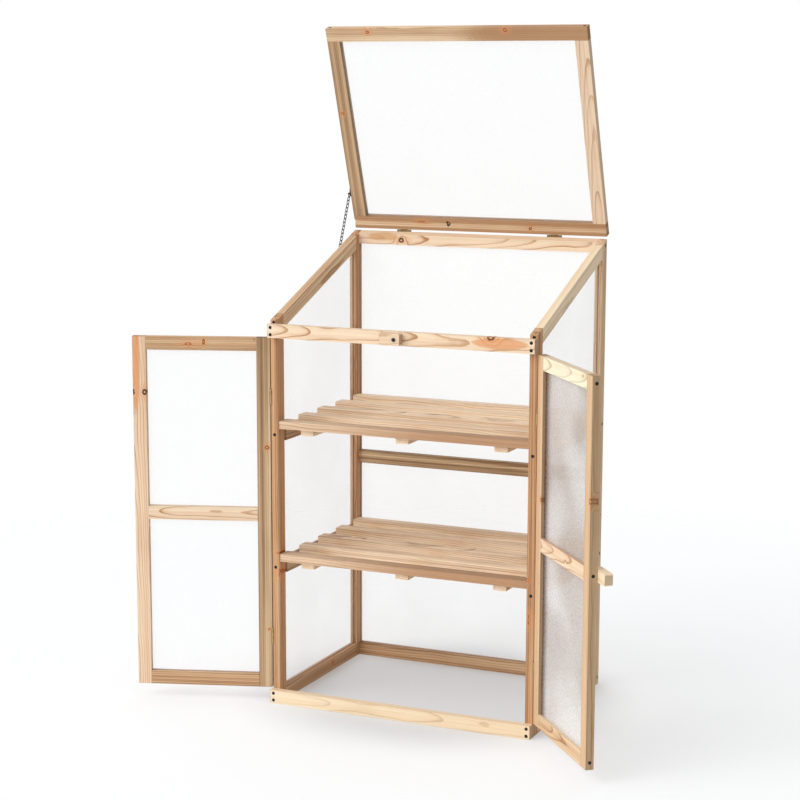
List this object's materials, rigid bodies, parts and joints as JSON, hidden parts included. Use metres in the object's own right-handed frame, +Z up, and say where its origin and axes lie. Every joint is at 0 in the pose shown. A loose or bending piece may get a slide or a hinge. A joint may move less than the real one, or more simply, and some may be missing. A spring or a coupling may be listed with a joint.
{
  "type": "wooden mini greenhouse",
  "caption": "Upright wooden mini greenhouse with a sloping hinged lid on a stay chain, a pair of hinged front doors, clear sheets and slatted shelves.",
  "frame": {"origin": "middle of the underside of the front bottom rail, on the ground", "axes": "+X to the right seen from the front, +Y from the front to the back, +Z up"},
  "size_m": [1.0934, 0.6635, 1.401],
  "materials": {
    "frame_timber": "planed softwood, light varnish",
    "shelf_timber": "planed softwood",
    "clear_sheet": "clear, finely pebbled",
    "aged_brass": "dull brass plating",
    "black_screw": "black",
    "black_plate": "black",
    "chain_steel": "blackened steel"
  },
  "bodies": {
    "frame": {"back_bottom_rail": "frame_timber", "back_mid_rail": "frame_timber", "back_sheets": "clear_sheet", "back_shelf_rails": "frame_timber", "back_top_rail": "frame_timber", "frame_chain_plate": "black_plate", "frame_screws": "black_screw", "front_bottom_rail": "frame_timber", "front_top_rail": "frame_timber", "hinge_pins": "aged_brass", "left_back_post": "frame_timber", "left_bottom_rail": "frame_timber", "left_front_post": "frame_timber", "left_lower_bearer": "frame_timber", "left_side_sheets": "clear_sheet", "left_slope_rail": "frame_timber", "left_upper_bearer": "frame_timber", "lower_shelf_battens": "shelf_timber", "lower_shelf_slats": "shelf_timber", "post_hinge_leaves": "aged_brass", "rail_hinge_leaves": "aged_brass", "right_back_post": "frame_timber", "right_bottom_rail": "frame_timber", "right_front_post": "frame_timber", "right_lower_bearer": "frame_timber", "right_side_sheets": "clear_sheet", "right_slope_rail": "frame_timber", "right_upper_bearer": "frame_timber", "upper_shelf_battens": "shelf_timber", "upper_shelf_slats": "shelf_timber"},
    "left_door": {"left_door_bottom_rail": "frame_timber", "left_door_free_stile": "frame_timber", "left_door_hinge_leaves": "aged_brass", "left_door_hinge_stile": "frame_timber", "left_door_lower_sheet": "clear_sheet", "left_door_mid_rail": "frame_timber", "left_door_screws": "black_screw", "left_door_top_rail": "frame_timber", "left_door_upper_sheet": "clear_sheet"},
    "right_door": {"right_door_bottom_rail": "frame_timber", "right_door_free_stile": "frame_timber", "right_door_hinge_leaves": "aged_brass", "right_door_hinge_stile": "frame_timber", "right_door_lower_sheet": "clear_sheet", "right_door_mid_rail": "frame_timber", "right_door_screws": "black_screw", "right_door_top_rail": "frame_timber", "right_door_upper_sheet": "clear_sheet"},
    "lid": {"lid_back_rail": "frame_timber", "lid_chain_plate": "black_plate", "lid_front_rail": "frame_timber", "lid_hinge_leaves": "aged_brass", "lid_left_stile": "frame_timber", "lid_right_stile": "frame_timber", "lid_screws": "black_screw", "lid_sheet": "clear_sheet"},
    "stay_chain": {"stay_chain": "chain_steel"},
    "top_button": {"top_turn_button": "frame_timber"},
    "door_button": {"right_door_turn_button": "frame_timber"}
  },
  "joints": [
    {"name": "left_door_hinge", "type": "hinge", "parent": "frame", "child": "left_door", "pos_m": [-0.291, 0.00785, 0.40135], "axis": [0, 0, 1], "range_deg": [-19, 161]},
    {"name": "right_door_hinge", "type": "hinge", "parent": "frame", "child": "right_door", "pos_m": [0.291, 0.00785, 0.40135], "axis": [0, 0, 1], "range_deg": [-130.1, 49.9]},
    {"name": "lid_hinge", "type": "hinge", "parent": "frame", "child": "lid", "pos_m": [0, 0.4208, 0.96357], "axis": [1, 0, 0], "range_deg": [0, 91]},
    {"name": "chain_swing", "type": "hinge", "parent": "lid", "child": "stay_chain", "pos_m": [-0.2958, 0.40176, 1.04167], "axis": [1, 0, 0], "range_deg": [-67.5, 0.5]},
    {"name": "top_button_pivot", "type": "hinge", "parent": "frame", "child": "top_button", "pos_m": [0, -0.012, 0.789], "axis": [0, -1, 0], "range_deg": [0, 180]},
    {"name": "door_button_pivot", "type": "hinge", "parent": "right_door", "child": "door_button", "pos_m": [0.48017, -0.19172, 0.40135], "axis": [0.7649, 0.6441, 0], "range_deg": [-90, 90]}
  ],
  "couplings": [
    {"joint": "chain_swing", "follows": "lid_hinge", "ratio": -0.7359}
  ]
}
